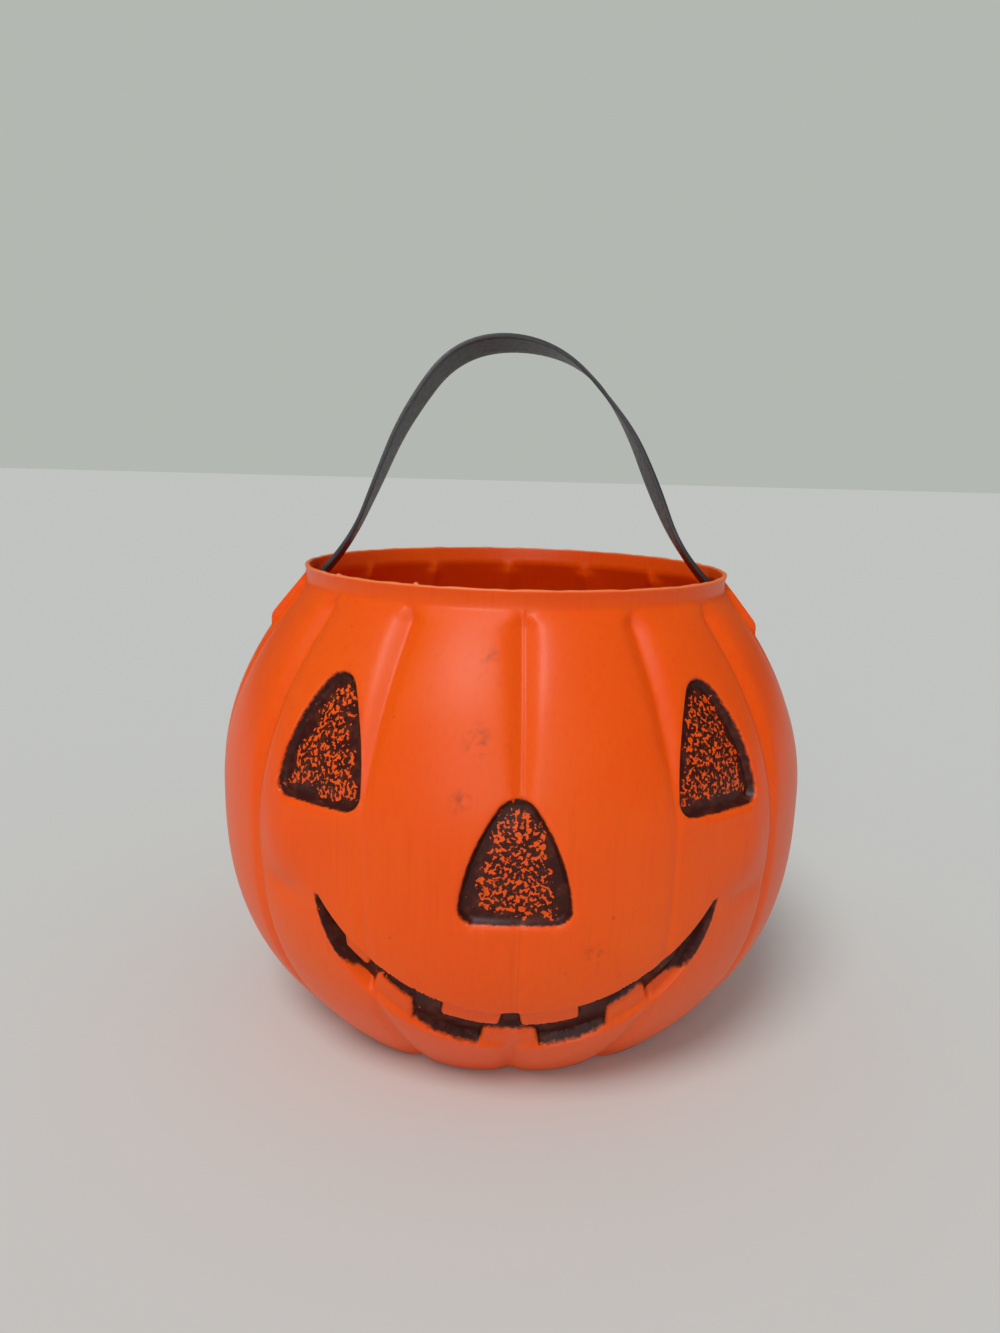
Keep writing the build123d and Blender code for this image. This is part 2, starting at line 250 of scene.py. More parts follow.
# Rounding where two skins cross, half width of the parting line, and how far an ear runs below its corner
CROSSING = 0.8
PARTING_REACH = 0.4
EAR_DROP = 12

# The muzzle, where the grooves fade: degrees from the face's middle, then heights, each from edge to full
MUZZLE_SIDE = (42, 30)
MUZZLE_FOOT = (22, 40)
MUZZLE_TOP = (124, 94)

# Heights between which the lobes bulge more and more towards the foot
FOOT_SWELL = (34, 8)

# The cheeks and the creases under them: degrees from the face's middle and reach, then height and reach
CHEEK = ((43, 5.5), (86, 10))
CREASE = ((43, 5.0), (70, 4))


def signed_turn(azimuth):
    """An azimuth as a turn to the right or left of the face's middle."""
    return (azimuth + math.pi) % (2 * math.pi) - math.pi


def degrees_from_face(azimuth):
    return np.degrees(np.abs(signed_turn(azimuth)))


def below_and_above(p, z):
    """Shares of the way from the belly down to the foot, and up to the collar."""
    top = p.rim_height - p.collar_height
    below = np.clip((p.belly_height - z) / p.belly_height, 0, 1)
    above = np.clip((z - p.belly_height) / (top - p.belly_height), 0, 1)
    return below, above


def crest_radius(p, z):
    """Radius of the lobes' crests at a height."""
    below, above = below_and_above(p, z)
    foot = (p.body_radius - p.foot_radius) * below**p.foot_curve
    shoulder = (p.body_radius - p.rim_radius) * above**p.shoulder_curve
    return p.body_radius - foot - shoulder


def crest_normal(p, z):
    """Outward and upward parts of the crest line's normal."""
    step = 0.25
    slope = (crest_radius(p, z + step) - crest_radius(p, z - step)) / (2 * step)
    size = np.sqrt(1 + slope**2)
    return 1 / size, -slope / size


def groove_depth(p, azimuth, z):
    """Depth of the grooves: deep at top and foot, faint on the muzzle, closed at the collar."""
    below, above = below_and_above(p, z)
    depth = p.groove_belly + (p.groove_foot - p.groove_belly) * below**2
    depth = depth + (p.groove_top - p.groove_belly) * np.minimum(1, 1.2 * above)
    turn = degrees_from_face(azimuth)
    muzzle = ramp(turn, *MUZZLE_SIDE) * ramp(z, *MUZZLE_FOOT) * ramp(z, *MUZZLE_TOP)
    depth = depth * (1 - p.muzzle_fade * muzzle)
    room = np.where(z > p.belly_height, crest_radius(p, z) - p.rim_radius + p.collar_neck, FAR)
    return np.maximum(lesser(depth, room, CROSSING), 0.05)


def lobed_radius(p, azimuth, z, inset):
    """Radius of the lobed skin: crowned panels that fall into soft V-shaped grooves."""
    half = math.pi / p.lobe_count
    phi = np.abs((azimuth + half) % (2 * half) - half)
    crest = crest_radius(p, z)
    depth = groove_depth(p, azimuth, z)
    top = p.rim_height - p.collar_height
    into = np.clip(z - top + p.panel_corner, 0, p.panel_corner)
    flare = p.panel_corner - np.sqrt(p.panel_corner**2 - into**2)
    aside = np.maximum(phi * crest - flare, 0)
    reach = p.groove_spread * depth + p.groove_least
    share = 1 - np.sqrt(aside**2 + p.groove_floor**2) / reach
    side = (share + np.sqrt(share**2 + p.groove_edge**2)) / 2
    crown = p.panel_crown + p.foot_crown * ramp(z, *FOOT_SWELL)
    fall = (1 - crown) * depth * side + crown * depth * (1 - phi / half) ** 2
    outward = crest_normal(p, z)[0]
    radius = crest - fall - inset / outward
    if inset == 0:
        seam = np.abs(np.sin(azimuth)) < math.sin(half)
        radius = radius + seam * p.parting_line * bell(phi * crest, 0, PARTING_REACH)
    return radius


# Outlines of the face as signed distances in millimetres, negative inside


def both(a, b, radius):
    """Intersection of two signed distances with a rounded corner."""
    corner = np.hypot(np.maximum(a + radius, 0), np.maximum(b + radius, 0))
    return np.minimum(-radius, np.maximum(a, b)) + corner


def triangle_distance(f, x, z, half_width, base, rise):
    """Signed distance to a triangle with bowed sides and rounded corners."""
    side = math.hypot(half_width, rise)
    tilt = math.atan2(half_width, rise)
    radius = side**2 / (8 * f.bow) + f.bow / 2
    mid_x = half_width / 2
    mid_z = base + rise / 2
    cx = mid_x - (radius - f.bow) * math.cos(tilt)
    cz = mid_z - (radius - f.bow) * math.sin(tilt)
    right = np.hypot(x - cx, z - cz) - radius
    left = np.hypot(x + cx, z - cz) - radius
    sides = both(right, left, f.tip)
    return both(sides, base - z, f.corner)


def eye_and_nose_distance(p, f, azimuth, z):
    """Signed distance to the nearest of the three triangles."""
    crest = crest_radius(p, z)
    turn = np.radians(degrees_from_face(azimuth))
    nose_x = crest * np.sin(azimuth) - f.middle_shift
    nose = triangle_distance(f, nose_x, z, f.nose_half_width, f.nose_base, f.nose_rise)
    eye_x = crest * np.sin(turn - f.eye_azimuth)
    eye = triangle_distance(f, eye_x, z, f.eye_half_width, f.eye_base, f.eye_rise)
    return np.minimum(nose, eye)


def lip_distance(f, x, z, lip):
    """Signed distance to the disc whose lower edge is a lip."""
    sag = f.mouth_corner - lip
    radius = (f.mouth_half_width**2 + sag**2) / (2 * sag)
    return np.hypot(x, z - lip - radius) - radius


# Where the paint leaves the lower lip: distance from the middle, and reach
SIDE_TEETH = (42, 9)
MOUTH_ENDS = (57, 6)

# Rounding of the corners where the lips meet
LIP_ROUNDING = 1.0


def mouth_distance(p, f, azimuth, z, painted=False):
    """Signed distance to the mouth, or to the part of it that is painted."""
    x = crest_radius(p, z) * np.sin(azimuth)
    lower = lip_distance(f, x, z, f.lower_lip)
    if painted:
        lower = lower + f.paint_raise * bell(np.abs(x), *SIDE_TEETH)
        lower = lower - f.paint_spill * bell(np.abs(x), *MOUTH_ENDS)
    upper = lip_distance(f, x, z, f.upper_lip)
    return both(lower, -upper, LIP_ROUNDING)


# Each tooth: row, inner and outer side at the lip, inner and outer side at its free edge, length
TEETH = (
    ("upper", 2.2, 21.0, 3.6, 21.8, 7.5),
    ("upper", 43.3, 52.5, 44.5, 51.6, 4.4),
    ("lower", 30.8, 44.0, 30.6, 41.3, 6.9),
)
TOOTH_ROUNDING = 0.9

# Middle tooth of the lower row: half width at the lip and at its free edge, length and rounding
CENTRE_TOOTH = (9.6, 8.2, 7.4, 1.6)

# Distance from the middle past which a tooth is an outer one
OUTER_TOOTH = 50


def teeth_distance(p, f, azimuth, z, bare=False):
    """Signed distance to the nearest tooth, or to the nearest unpainted one, run on past its lip."""
    x = crest_radius(p, z) * np.sin(azimuth)
    upper = lip_distance(f, x, z, f.upper_lip)
    lower = -lip_distance(f, x, z, f.lower_lip)
    across = np.abs(x - f.middle_shift)
    nearest = np.full_like(x, FAR)
    for row, lip_in, lip_out, edge_in, edge_out, size in TEETH:
        rise = upper if row == "upper" else lower
        share = rise / size
        inner = lip_in + (edge_in - lip_in) * share - across
        outer = across - lip_out - (edge_out - lip_out) * share
        tooth = both(np.maximum(inner, outer), rise - size, TOOTH_ROUNDING)
        # The outer tooth on the right is painted over
        if bare and lip_out > OUTER_TOOTH:
            tooth = np.where(x > 0, FAR, tooth)
        nearest = np.minimum(nearest, tooth)
    wide, narrow, size, rounding = CENTRE_TOOTH
    side = across - wide - (narrow - wide) * lower / size
    centre = both(side, lower - size, rounding)
    return np.minimum(nearest, centre)


def with_ears(p, azimuth, z, radius, inset):
    """A radius widened to the ears: a ramp from the collar to an upright end."""
    slant = (p.ear_reach - p.rim_radius) / (p.ear_top - p.ear_corner)
    ear_x = lesser(p.rim_radius + (p.ear_top - z) * slant, p.ear_reach, CROSSING)
    sine = np.maximum(np.abs(np.sin(azimuth)), 0.5)
    ear_radius = (ear_x - 1.2 * inset) / sine
    ear_side = np.abs(radius * np.cos(azimuth)) - p.ear_width / 2 + inset
    ear = (1 - ramp(ear_side, -0.8, 0.5)) * (z > p.ear_corner - EAR_DROP) * (sine > 0.7)
    return radius + ear * np.maximum(ear_radius - radius, 0)


def skin_points(p, f, azimuth, z, inset):
    """Points of the outer skin, or of the inner one when there is an inset, and their paint distances."""
    radius = lobed_radius(p, azimuth, z, inset)
    height = z.copy()
    crest = crest_radius(p, z)
    outward, upward = crest_normal(p, z)

    # Soft cheeks swell beside the mouth's corners, over a crease that runs out to the next groove
    turn = degrees_from_face(azimuth)
    cheek = bell(turn, *CHEEK[0]) * bell(z, *CHEEK[1])
    crease = bell(turn, *CREASE[0]) * bell(z, *CREASE[1])
    radius = radius + p.cheek_rise * cheek - p.crease_depth * crease

    radius = with_ears(p, azimuth, z, radius, inset)

    # The face is sunk below the crests, with a slight bulge in the floors of the eyes and the nose
    front = np.cos(azimuth) > 0
    triangles = np.where(front, eye_and_nose_distance(p, f, azimuth, z) - inset, FAR)
    mouth = np.where(front, mouth_distance(p, f, azimuth, z) - inset, FAR)
    teeth = teeth_distance(p, f, azimuth, z)
    run = f.wall_run + inset
    sunk = ramp(-triangles, -0.4 * run, 0.6 * run)
    floor = f.depth - 0.5 * ramp(-triangles, 1.0, 9.0)
    mouth_sunk = ramp(-mouth, -0.35 * run, 0.65 * run)
    tooth = ramp(-teeth, -0.5 * run, 0.5 * run) if inset == 0 else np.zeros_like(z)
    mouth_floor = f.mouth_depth + (f.tooth_depth - f.mouth_depth) * tooth
    share = np.maximum(sunk, mouth_sunk)
    depth = np.where(sunk > mouth_sunk, floor, mouth_floor) + inset
    radius = radius + share * (crest - depth * outward - radius)
    height = height + share * (z - depth * upward - height)
    points = np.stack([radius * np.sin(azimuth), -radius * np.cos(azimuth), height], axis=-1)
    bare = teeth_distance(p, f, azimuth, z, True)
    painted = np.where(front, mouth_distance(p, f, azimuth, z, True), FAR)
    return points, np.stack([triangles, np.maximum(painted, -bare)], axis=-1)


def contour_points(distance, us, vs, level):
    """Points where a sampled distance crosses a level, along both ways of its grid."""
    d = distance - level
    found = []
    row, col = np.nonzero(d[:, :-1] * d[:, 1:] < 0)
    share = d[row, col] / (d[row, col] - d[row, col + 1])
    found.append(np.stack([us[col] + share * (us[col + 1] - us[col]), vs[row]], axis=-1))
    row, col = np.nonzero(d[:-1, :] * d[1:, :] < 0)
    share = d[row, col] / (d[row, col] - d[row + 1, col])
    found.append(np.stack([us[col], vs[row] + share * (vs[row + 1] - vs[row])], axis=-1))
    return np.concatenate(found)


def near_any(u, v, gap, cells, size):
    """Whether a point lies within a gap of those kept in square cells of a size."""
    column = math.floor(u / size)
    row = math.floor(v / size)
    for i in (-1, 0, 1):
        for j in (-1, 0, 1):
            for other in cells.get((column + i, row + j), ()):
                if (other[0] - u) ** 2 + (other[1] - v) ** 2 < gap * gap:
                    return True
    return False


def refined_patch(columns, rows, scale, distances, levels, gap):
    """Triangles over a rectangle of the unrolled skin, refined along the contours of some distances."""
    us = columns * scale
    lines_u = np.arange(us[0], us[-1], gap)
    lines_v = np.arange(rows[0], rows[-1], gap)
    grid_u, grid_v = np.meshgrid(lines_u, lines_v)
    cells = {}
    extra = []
    for distance in distances:
        sampled = distance(grid_u / scale, grid_v)
        for level in levels:
            for u, v in contour_points(sampled, lines_u, lines_v, level):
                # The border keeps its own points, which the rings beside it share
                room = min(u - us[0], us[-1] - u, v - rows[0], rows[-1] - v)
                if room > 0.3 * gap and not near_any(u, v, 0.8 * gap, cells, gap):
                    cells.setdefault((math.floor(u / gap), math.floor(v / gap)), []).append((u, v))
                    extra.append((u, v))
    chosen = []
    for i, u in enumerate(us):
        for j, v in enumerate(rows):
            border = i in (0, len(us) - 1) or j in (0, len(rows) - 1)
            if border or not near_any(u, v, gap, cells, gap):
                chosen.append((u, v))
    flat = [Vector(point) for point in chosen + extra]
    result = delaunay_2d_cdt(flat, [], [], 0, 1e-4)
    coords = np.array([tuple(v) for v in result[0]])
    return coords[:, 0] / scale, coords[:, 1], result[2]


# Meshes

# Gap in millimetres that is welded shut
WELD = 0.003


class MeshParts:
    """Collects points, faces and paint distances, and welds them to one mesh."""

    def __init__(self):
        self.points = []
        self.values = []
        self.faces = []
        self.count = 0

    def add(self, points, values, faces):
        start = self.count
        self.points.append(np.asarray(points, float).reshape(-1, 3))
        self.values.append(np.asarray(values, float).reshape(-1, 2))
        for face in faces:
            self.faces.append([start + i for i in face])
        self.count += len(self.points[-1])

    def build(self, name):
        points = np.concatenate(self.points)
        values = np.concatenate(self.values)
        keys = np.round(points, 3)
        unique, first, inverse = np.unique(keys, axis=0, return_index=True, return_inverse=True)
        inverse = inverse.reshape(-1)
        used = np.zeros(len(unique), bool)
        faces = []
        for face in self.faces:
            loop = list(dict.fromkeys(int(inverse[i]) for i in face))
            if len(loop) > 2:
                faces.append(loop)
                used[loop] = True
        order = np.cumsum(used) - 1
        mesh = bpy.data.meshes.new(name)
        kept = first[used]
        loops = [[int(order[k]) for k in face] for face in faces]
        mesh.from_pydata((points[kept] * MM).tolist(), [], loops)
        for index, label in enumerate(PAINT_LAYERS):
            layer = mesh.attributes.new(label, "FLOAT", "POINT")
            layer.data.foreach_set("value", values[kept, index])
        item = bpy.data.objects.new(name, mesh)
        bpy.context.scene.collection.objects.link(item)
        activate(item)
        bpy.ops.object.mode_set(mode="EDIT")
        bpy.ops.mesh.select_all(action="SELECT")
        bpy.ops.mesh.remove_doubles(threshold=WELD * MM)
        bpy.ops.object.mode_set(mode="OBJECT")
        return item


def activate(item):
    """Makes one object the only selected and the active one."""
    bpy.ops.object.select_all(action="DESELECT")
    item.select_set(True)
    bpy.context.view_layer.objects.active = item


def apply_modifier(item, kind, **settings):
    """Adds a modifier with its settings to an object and applies it."""
    activate(item)
    modifier = item.modifiers.new(kind.lower(), kind)
    for name, value in settings.items():
        setattr(modifier, name, value)
    bpy.ops.object.modifier_apply(modifier=modifier.name)


def bevel_edges(item, width):
    """Rounds an object's sharp edges, by a width in millimetres."""
    sharp = math.radians(50)
    apply_modifier(item, "BEVEL", width=width * MM, segments=2, limit_method="ANGLE", angle_limit=sharp)


def add_rod(radius, size, x, height):
    """A cylinder along X round a place at a height, in millimetres."""
    bpy.ops.object.select_all(action="DESELECT")
    place = Vector((x, 0, height)) * MM
    bpy.ops.mesh.primitive_cylinder_add(
        vertices=32, radius=radius * MM, depth=size * MM, location=place, rotation=(0, math.pi / 2, 0)
    )
    return bpy.context.object


def grid_faces(row_count, column_count, skip=None):
    """Quads of a grid that closes round its columns, without the cells that are skipped."""
    faces = []
    for i in range(row_count - 1):
        for j in range(column_count):
            if skip is not None and skip(i, j):
                continue
            k = (j + 1) % column_count
            a = i * column_count
            b = (i + 1) * column_count
            faces.append((a + j, b + j, b + k, a + k))
    return faces


def lobe_columns(p):
    """Azimuths round the pail, close together at the grooves."""
    half = math.pi / p.lobe_count
    arc = half * p.body_radius
    steps = [0, 0.25, 0.55, 0.95, 1.45, 2.05, 2.75, 3.55, 4.5, 5.6, 7.0, 9.0, 12.0, 15.5, 19.5]
    side = [step / arc * half for step in steps]
    turns = []
    for lobe in range(p.lobe_count):
        middle = 2 * half * lobe
        turns.extend(middle + turn for turn in side)
        turns.append(middle + half)
        turns.extend(middle + 2 * half - turn for turn in reversed(side[1:]))
    return np.array(turns)


# Heights where the face's refined patch starts and ends, and where the foot's rounding starts
PATCH_TOP = 147.0
PATCH_FOOT = 17.0
FOOT_EDGE = 3.0

# Differences below which two heights, in millimetres, or two turns, in radians, are the same
SAME_HEIGHT = 0.01
SAME_TURN = 1e-6

# Burrs of the trimmed rim: degrees from the face's middle, and height
BURRS = ((-25.4, 0.75), (-50.6, 0.5), (-31.0, 0.25))
BURR_REACH = 0.45


def skin_rows(p, middle_count, lower_count):
    """Heights of the lobed skin from the collar down to the foot."""
    top = p.rim_height - p.collar_height
    upper = np.linspace(top, PATCH_TOP, 16)
    middle = np.linspace(PATCH_TOP, PATCH_FOOT, middle_count)
    lower = np.linspace(PATCH_FOOT, FOOT_EDGE, lower_count)
    return np.concatenate([upper, middle[1:], lower[1:]])


def rim_burrs(columns):
    """Small unevenness of the trimmed rim, with its burrs, in millimetres of height."""
    uneven = 0.07 * np.sin(23 * columns + 1) + 0.06 * np.sin(41 * columns) + 0.05 * np.sin(67 * columns + 2)
    signed = np.degrees(signed_turn(columns))
    for place, size in BURRS:
        uneven = uneven + size * bell(signed, place, BURR_REACH)
    return uneven


def build_shell(p, f):
    """Outer skin, rim, inner skin and foot as one closed mesh."""
    parts = MeshParts()
    columns = lobe_columns(p)
    count = len(columns)
    half = math.pi / p.lobe_count
    top = p.rim_height - p.collar_height
    signed = signed_turn(columns)

    def ring(radius, height, inset=None):
        if inset is not None:
            radius = with_ears(p, columns, height * np.ones(count), radius * np.ones(count), inset)
        points = np.stack(
            [radius * np.sin(columns), -radius * np.cos(columns), height * np.ones(count)], axis=-1
        )
        return points, np.full((count, 2), FAR)

    def skin_ring(z, inset):
        points, values = skin_points(p, f, columns, np.full(count, float(z)), inset)
        # The lining has the recesses' shapes but none of their paint
        return points, values if inset == 0 else np.full_like(values, FAR)

    def add_rings(rings, faces, pole=None, turned=False):
        points = np.concatenate([ring_points for ring_points, values in rings])
        values = np.concatenate([ring_values for ring_points, ring_values in rings])
        if pole is not None:
            start = len(points) - count
            points = np.concatenate([points, [[0, 0, pole]]])
            values = np.concatenate([values, [[FAR, FAR]]])
            faces = faces + [(start + (j + 1) % count, start + j, len(points) - 1) for j in range(count)]
        if turned:
            faces = [face[::-1] for face in faces]
        parts.add(points, values, faces)

    rows = skin_rows(p, 82, 12)
    outer = [skin_ring(z, 0) for z in rows]
    face_half = 5 * half
    ear_low = rows[np.argmin(np.abs(rows - p.ear_corner + EAR_DROP))]

    def in_face(i, j):
        k = (j + 1) % count
        inside_rows = rows[i] <= PATCH_TOP + SAME_HEIGHT and rows[i + 1] >= PATCH_FOOT - SAME_HEIGHT
        return inside_rows and max(abs(signed[j]), abs(signed[k])) <= face_half + SAME_TURN

    def in_ear(i, j):
        k = (j + 1) % count
        off = max(abs(abs(signed[j]) - math.pi / 2), abs(abs(signed[k]) - math.pi / 2))
        return rows[i + 1] >= ear_low - SAME_HEIGHT and off <= half + SAME_TURN

    add_rings(outer, grid_faces(len(rows), count, lambda i, j: in_face(i, j) or in_ear(i, j)))

    def add_patch(turns, heights, distances, levels, gap):
        azimuth, z, faces = refined_patch(turns, heights, p.body_radius, distances, levels, gap)
        parts.add(*skin_points(p, f, azimuth, z, 0), faces)

    face_turns = np.sort(signed[np.abs(signed) <= face_half + SAME_TURN])
    face_rows = np.sort(rows[(rows <= PATCH_TOP + SAME_HEIGHT) & (rows >= PATCH_FOOT - SAME_HEIGHT)])
    levels = [share * f.wall_run for share in (0.55, 0.3, 0.05, -0.2, -0.4, -0.6, -0.85)]
    distances = [
        lambda a, z: eye_and_nose_distance(p, f, a, z),
        lambda a, z: mouth_distance(p, f, a, z),
        lambda a, z: both(teeth_distance(p, f, a, z), mouth_distance(p, f, a, z) - 0.6, 0.1),
    ]
    add_patch(face_turns, face_rows, distances, levels, 0.55)

    ear_rows = np.sort(rows[rows >= ear_low - SAME_HEIGHT])
    ear_edges = [
        lambda a, z: np.abs(crest_radius(p, z) * np.cos(a)) - p.ear_width / 2,
        lambda a, z: z - p.ear_corner,
    ]
    for side in (1, -1):
        turns = np.sort(signed[np.abs(signed - side * math.pi / 2) <= half + SAME_TURN])
        add_patch(turns, ear_rows, ear_edges, [0.9, 0.5, 0.15, -0.2, -0.55, -0.9], 0.6)

    # From the lobes up the collar, over the trimmed rim, and down inside to the floor
    neck = p.rim_radius - p.collar_neck
    bore = p.rim_radius - p.wall
    edge = p.rim_height + rim_burrs(columns)
    inner_rows = skin_rows(p, 50, 8)
    inside = [skin_ring(z, p.wall) for z in inner_rows[1:] if z > FOOT_EDGE + 1]
    last = np.hypot(inside[-1][0][:, 0], inside[-1][0][:, 1])
    base = p.wall + p.push_up_depth
    lining = [
        outer[0],
        ring(neck + 0.15, top + 0.6, 0),
        *[ring(neck, top + rise, 0) for rise in (1.2, 2.0, 3.0)],
        ring(neck + 0.2, p.rim_height - 1.8),
        ring(p.rim_radius - 0.05, p.rim_height - 0.8),
        ring(p.rim_radius, edge - 0.45),
        ring(p.rim_radius - 0.12, edge - 0.12),
        ring(p.rim_radius - 0.4, edge),
        ring(bore + 0.3, edge),
        ring(bore + 0.08, edge - 0.12),
        ring(bore, edge - 0.5),
        ring(bore - 0.1, top + 3.0, p.wall),
        ring(bore - 0.2, top + 2.0, p.wall),
        ring(bore - 0.3, top + 1.0, p.wall),
        *inside,
        ring(last - 2.5, p.wall + 0.7),
        ring(last - 5.0, p.wall),
        ring(p.push_up_radius + 3.0, p.wall),
        ring(p.push_up_radius + 0.5, p.wall + 0.2),
        ring(p.push_up_top + 1.0, base - 0.3),
        ring(p.push_up_top - 1.5, base),
        ring(12.0, base),
    ]
    add_rings(lining, grid_faces(len(lining), count), base, turned=True)

    # Foot: rounded edge, flat ring, and the dish in the middle
    last = np.hypot(outer[-1][0][:, 0], outer[-1][0][:, 1])
    foot = [
        outer[-1],
        ring(last - 1.2, 1.7),
        ring(last - 2.6, 0.7),
        ring(last - 4.2, 0.15),
        ring(last - 5.8, 0.0),
        ring(p.push_up_radius + 1.0, 0.0),
        ring(p.push_up_radius - 0.6, 0.25),
        ring(p.push_up_top + 0.8, p.push_up_depth - 0.25),
        ring(p.push_up_top - 1.0, p.push_up_depth),
        ring(12.0, p.push_up_depth),
    ]
    add_rings(foot, grid_faces(len(foot), count), p.push_up_depth)
    return parts.build("pail_skin")


def drill_ears(item, p):
    """Cuts the holes for the handle's studs through both ear ends, and keeps paint off the cuts."""
    drill = add_rod(p.stud_hole, 2 * (p.ear_reach + 5), 0, p.stud_height)
    apply_modifier(item, "BOOLEAN", operation="DIFFERENCE", solver="EXACT", object=drill)
    bpy.data.objects.remove(drill)
    count = len(item.data.vertices)
    points = np.empty(count * 3)
    item.data.vertices.foreach_get("co", points)
    unpainted = np.abs(points[0::3]) > 0.9 * p.rim_radius * MM
    unpainted &= points[2::3] > (p.ear_corner - EAR_DROP) * MM
    for label in PAINT_LAYERS:
        layer = item.data.attributes[label]
        values = np.empty(count)
        layer.data.foreach_get("value", values)
        values[unpainted] = FAR
        layer.data.foreach_set("value", values)


def strap_path(s):
    """Centre line of the strap's right half from crown to tab, in the loop's plane, as points."""
    turn = s.crown_turn
    leg = s.leg_angle
    flare = s.flare_angle
    last_turn = math.pi / 2 - leg

    def arc(radius, a):
        return radius * np.array([math.sin(a), math.cos(a)])

    def on_flare(a):
        return s.flare_radius * np.array([math.cos(leg) - math.cos(a), math.sin(leg) - math.sin(a)])

    def on_bend(a):
        return s.bend_radius * np.array([math.cos(a) - math.cos(flare), math.sin(a) - math.sin(flare)])

    crown_centre = np.array([0, s.rise - s.crown_radius])
    shoulder_centre = crown_centre + arc(s.crown_radius, turn) - arc(s.shoulder_radius, turn)
    leg_start = shoulder_centre + arc(s.shoulder_radius, last_turn)
    leg_way = np.array([math.sin(leg), -math.cos(leg)])
    flare_way = np.array([math.sin(flare), -math.cos(flare)])
    # The two straight runs are as long as the tab's place asks for
    rest = np.array([s.tab_middle, s.bend_height]) - leg_start - on_flare(flare) - on_bend(0)
    leg_length, flare_length = np.linalg.solve(np.stack([leg_way, flare_way], axis=1), rest)
    leg_end = leg_start + leg_way * leg_length
    flare_end = leg_end + on_flare(flare)
    bend_start = flare_end + flare_way * flare_length
    bend_end = bend_start + on_bend(0)
    tab = np.array([0, s.bend_height + s.tab_width / 2])
    runs = (
        (lambda a: crown_centre + arc(s.crown_radius, a), 0, turn, 16),
        (lambda a: shoulder_centre + arc(s.shoulder_radius, a), turn, last_turn, 16),
        (lambda t: leg_start + leg_way * leg_length * t, 0, 1, 12),
        (lambda a: leg_end + on_flare(a), leg, flare, 12),
        (lambda t: flare_end + flare_way * flare_length * t, 0, 1, 10),
        (lambda a: bend_start + on_bend(a), flare, 0, 8),
        (lambda a: bend_end - tab * math.sin(a), 0, math.pi / 2, 14),
    )
    points = []
    for place, start, end, count in runs:
        points.extend(place(t) for t in np.linspace(start, end, count)[:-1])
    points.append(bend_end - tab)
    return np.array(points)


def strap_half_width(s, height):
    """Half the strap's width at a height above the studs: a round tab, a taper and the full band."""
    if height < 0:
        return math.sqrt(max((s.tab_width / 2) ** 2 - height**2, 0.01))
    share = np.clip((height - s.taper_start) / (s.taper_end - s.taper_start), 0, 1)
    return (s.tab_width + (s.width - s.tab_width) * share) / 2


# Where use has twisted the strap: millimetres from the crown towards the right, reach, and degrees
STRAP_TWISTS = ((-103, 20, 7), (-35, 30, -5), (37, 26, 19), (112, 18, 10))

# Where the crown is pushed aside: middle and reach, and the height above the studs where its lift starts
CROWN_PUSH = (-8, 28)
LIFT_START = 80


def build_strap(s):
    """A flat grid is laid along the loop, twisted, thickened and bevelled."""
    right = strap_path(s)
    path = np.concatenate([right[:0:-1] * np.array([-1, 1]), right])
    path[:, 0] += s.crown_shift * bell(path[:, 0], *CROWN_PUSH)
    path[:, 1] += s.crown_lift * ramp(path[:, 1], LIFT_START, s.rise)
    tangents = np.gradient(path, axis=0)
    tangents /= np.linalg.norm(tangents, axis=1)[:, None]
    last = len(path) - 1
    way = np.concatenate([[0], np.cumsum(np.linalg.norm(np.diff(path, axis=0), axis=1))])
    twists = np.zeros(len(path))
    for middle, reach, degrees in STRAP_TWISTS:
        twists += s.twist * math.radians(degrees) * bell(way - way[last // 2], middle, reach)
    bpy.ops.object.select_all(action="DESELECT")
    bpy.ops.mesh.primitive_grid_add(x_subdivisions=last, y_subdivisions=6, size=1)
    item = bpy.context.object
    item.name = "strap_band"
    turn = Matrix.Rotation(-s.lean, 3, "X")
    for vertex in item.data.vertices:
        index = round((vertex.co.x + 0.5) * last)
        share = 2 * vertex.co.y
        x, h = path[index]
        along, down = tangents[index]
        twist = twists[index]
        across = share * strap_half_width(s, h)
        out = across * math.sin(twist)
        place = Vector((x - down * out, across * math.cos(twist), h + along * out))
        vertex.co = (turn @ place + Vector((0, 0, s.stud_height))) * MM
    apply_modifier(item, "SOLIDIFY", thickness=s.thickness * MM, offset=0, use_even_offset=True)
    bevel_edges(item, s.edge)
    return item


# Bevel of the studs' edges
STUD_EDGE = 0.25


def build_stud(s, side):
    """A turned stud on one side: a shoulder on the tab, then a neck that ends in the ear's hole."""
    size = s.shoulder_end - s.tab_middle
    item = add_rod(s.stud_shoulder, size, side * (s.tab_middle + size / 2), s.stud_height)
    bpy.ops.object.transform_apply(location=True, rotation=True, scale=True)
    for face in item.data.polygons:
        face.select = face.normal.x * side > 0.9
    bpy.context.tool_settings.mesh_select_mode = (False, False, True)
    bpy.ops.object.mode_set(mode="EDIT")
    bpy.ops.mesh.inset(thickness=(s.stud_shoulder - s.stud_radius) * MM)
    way = (side * (s.stud_end - s.shoulder_end) * MM, 0, 0)
    bpy.ops.mesh.extrude_region_move(TRANSFORM_OT_translate={"value": way})
    bpy.ops.object.mode_set(mode="OBJECT")
    bevel_edges(item, STUD_EDGE)
    return item


# Materials


